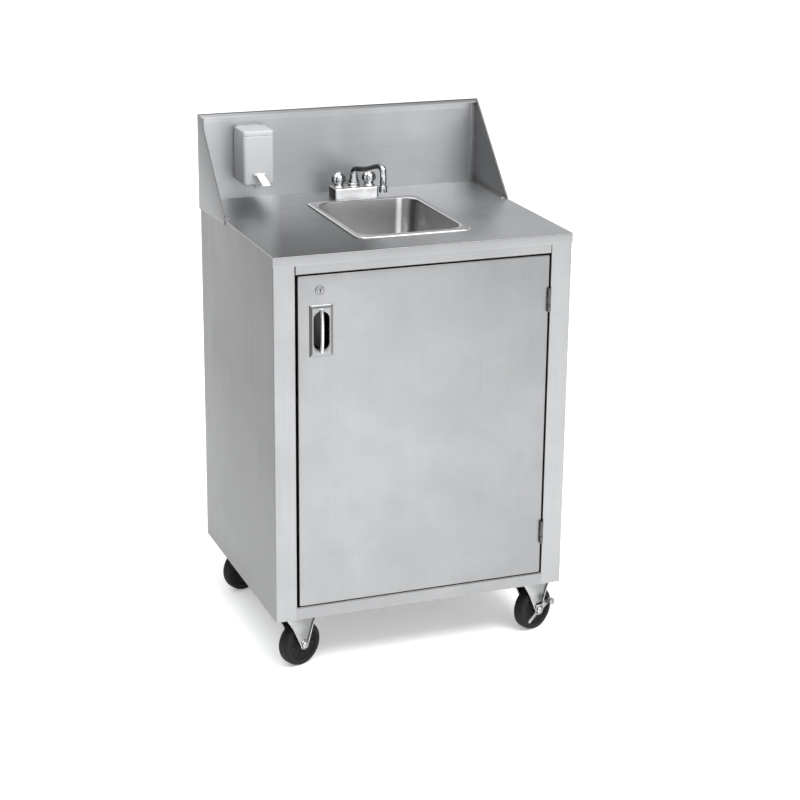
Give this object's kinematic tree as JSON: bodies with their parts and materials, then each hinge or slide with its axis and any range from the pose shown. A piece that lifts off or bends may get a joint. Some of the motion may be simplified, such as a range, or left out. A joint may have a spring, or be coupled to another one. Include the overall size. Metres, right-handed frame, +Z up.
{
  "type": "portable handwash sink",
  "caption": "Stainless handwash sink cabinet on swivel casters, with basin, faucet, splash, soap dispenser, door and its own water tanks.",
  "frame": {"origin": "on the floor under the middle of the cabinet", "axes": "+Z up, -Y towards the front with the door, +X to the right seen from the front"},
  "size_m": [0.6706, 0.5531, 1.117],
  "materials": {
    "brushed_steel": "brushed stainless sheet",
    "polished_steel": "satin drawn stainless",
    "chrome": "polished chrome",
    "zinc_plate": "bright zinc plate",
    "black_rubber": "dull black",
    "grey_plastic": "light grey satin",
    "white_plastic": "white gloss",
    "tank_plastic": "natural milky",
    "dark_plastic": "dark grey",
    "heater_shell": "white satin",
    "clear_hose": "cloudy clear",
    "drain_rubber": "dark grey"
  },
  "bodies": {
    "cabinet": {"left_side_panel": "brushed_steel", "right_side_panel": "brushed_steel", "back_panel": "brushed_steel", "bottom_pan": "brushed_steel", "top_rail": "brushed_steel", "bottom_rail": "brushed_steel", "countertop": "brushed_steel", "back_splash": "brushed_steel", "left_side_splash": "brushed_steel", "right_side_splash": "brushed_steel", "top_hinge_frame_leaf": "brushed_steel", "bottom_hinge_frame_leaf": "brushed_steel", "basin": "polished_steel", "drain_fitting": "polished_steel", "faucet_base": "chrome", "dispenser_tank": "grey_plastic", "dispenser_valve": "white_plastic", "fresh_tank": "tank_plastic", "waste_tank": "tank_plastic", "fresh_tank_cap": "dark_plastic", "waste_tank_cap": "dark_plastic", "water_pump": "dark_plastic", "power_inlet": "dark_plastic", "water_heater": "heater_shell", "suction_hose": "clear_hose", "cold_hose": "clear_hose", "heater_feed_hose": "clear_hose", "hot_hose": "clear_hose", "drain_hose": "drain_rubber", "front_left_caster_plate": "zinc_plate", "front_right_caster_plate": "zinc_plate", "rear_left_caster_plate": "zinc_plate", "rear_right_caster_plate": "zinc_plate"},
    "door": {"door_skin": "brushed_steel", "door_liner": "brushed_steel", "door_pull": "chrome", "lock_body": "chrome", "top_hinge_door_leaf": "brushed_steel", "bottom_hinge_door_leaf": "brushed_steel"},
    "lock": {"lock_plug": "chrome"},
    "spout": {"faucet_spout": "chrome", "faucet_aerator": "chrome"},
    "hot_knob": {"hot_handle": "chrome"},
    "cold_knob": {"cold_handle": "chrome"},
    "lid": {"dispenser_lid": "grey_plastic"},
    "lever": {"dispenser_lever": "white_plastic"},
    "front_left_swivel": {"front_left_caster_fork": "zinc_plate", "front_left_caster_axle": "zinc_plate"},
    "front_left_wheel": {"front_left_caster_wheel": "black_rubber"},
    "front_right_swivel": {"front_right_caster_fork": "zinc_plate", "front_right_caster_axle": "zinc_plate"},
    "front_right_wheel": {"front_right_caster_wheel": "black_rubber"},
    "rear_left_swivel": {"rear_left_caster_fork": "zinc_plate", "rear_left_caster_axle": "zinc_plate"},
    "rear_left_wheel": {"rear_left_caster_wheel": "black_rubber"},
    "rear_right_swivel": {"rear_right_caster_fork": "zinc_plate", "rear_right_caster_axle": "zinc_plate"},
    "rear_right_wheel": {"rear_right_caster_wheel": "black_rubber"},
    "front_right_brake": {"front_right_caster_brake": "zinc_plate"},
    "rear_right_brake": {"rear_right_caster_brake": "zinc_plate"}
  },
  "joints": [
    {"name": "door_hinge", "type": "hinge", "parent": "cabinet", "child": "door", "pos_m": [0.27875, -0.2713, 0.518], "axis": [0, 0, 1], "range_deg": [0, 110]},
    {"name": "lock_turn", "type": "hinge", "parent": "door", "child": "lock", "pos_m": [-0.231, -0.256, 0.847], "axis": [0, -1, 0], "range_deg": [0, 90]},
    {"name": "spout_swivel", "type": "hinge", "parent": "cabinet", "child": "spout", "pos_m": [0.012, 0.2125, 0.969], "axis": [0, 0, 1], "range_deg": [-87.4, 72.6]},
    {"name": "hot_turn", "type": "hinge", "parent": "cabinet", "child": "hot_knob", "pos_m": [-0.024, 0.2125, 0.959], "axis": [0, 0, 1], "range_deg": [0, 90]},
    {"name": "cold_turn", "type": "hinge", "parent": "cabinet", "child": "cold_knob", "pos_m": [0.048, 0.2125, 0.959], "axis": [0, 0, -1], "range_deg": [0, 90]},
    {"name": "lid_hinge", "type": "hinge", "parent": "cabinet", "child": "lid", "pos_m": [-0.2165, 0.2595, 1.082], "axis": [-1, 0, 0], "range_deg": [0, 65]},
    {"name": "lever_push", "type": "hinge", "parent": "cabinet", "child": "lever", "pos_m": [-0.2165, 0.1858, 0.991], "axis": [1, 0, 0], "range_deg": [0, 20], "stiffness_Nm_per_rad": 0.05, "springref_deg": -11.46},
    {"name": "front_left_swivel_turn", "type": "hinge", "parent": "cabinet", "child": "front_left_swivel", "pos_m": [-0.276, -0.2215, 0.12], "axis": [0, 0, 1], "continuous": true},
    {"name": "front_left_wheel_roll", "type": "hinge", "parent": "front_left_swivel", "child": "front_left_wheel", "pos_m": [-0.26307, -0.21614, 0.05], "axis": [-0.3827, 0.9239, 0], "continuous": true},
    {"name": "front_right_swivel_turn", "type": "hinge", "parent": "cabinet", "child": "front_right_swivel", "pos_m": [0.276, -0.2215, 0.12], "axis": [0, 0, 1], "continuous": true},
    {"name": "front_right_wheel_roll", "type": "hinge", "parent": "front_right_swivel", "child": "front_right_wheel", "pos_m": [0.28893, -0.21614, 0.05], "axis": [-0.3827, 0.9239, 0], "continuous": true},
    {"name": "rear_left_swivel_turn", "type": "hinge", "parent": "cabinet", "child": "rear_left_swivel", "pos_m": [-0.276, 0.2075, 0.12], "axis": [0, 0, 1], "continuous": true},
    {"name": "rear_left_wheel_roll", "type": "hinge", "parent": "rear_left_swivel", "child": "rear_left_wheel", "pos_m": [-0.26307, 0.21286, 0.05], "axis": [-0.3827, 0.9239, 0], "continuous": true},
    {"name": "rear_right_swivel_turn", "type": "hinge", "parent": "cabinet", "child": "rear_right_swivel", "pos_m": [0.276, 0.2075, 0.12], "axis": [0, 0, 1], "continuous": true},
    {"name": "rear_right_wheel_roll", "type": "hinge", "parent": "rear_right_swivel", "child": "rear_right_wheel", "pos_m": [0.28893, 0.21286, 0.05], "axis": [-0.3827, 0.9239, 0], "continuous": true},
    {"name": "front_right_brake_press", "type": "hinge", "parent": "front_right_swivel", "child": "front_right_brake", "pos_m": [0.29735, -0.23647, 0.05], "axis": [-0.3827, 0.9239, 0], "range_deg": [0, 25]},
    {"name": "rear_right_brake_press", "type": "hinge", "parent": "rear_right_swivel", "child": "rear_right_brake", "pos_m": [0.29735, 0.19253, 0.05], "axis": [-0.3827, 0.9239, 0], "range_deg": [0, 25]}
  ]
}
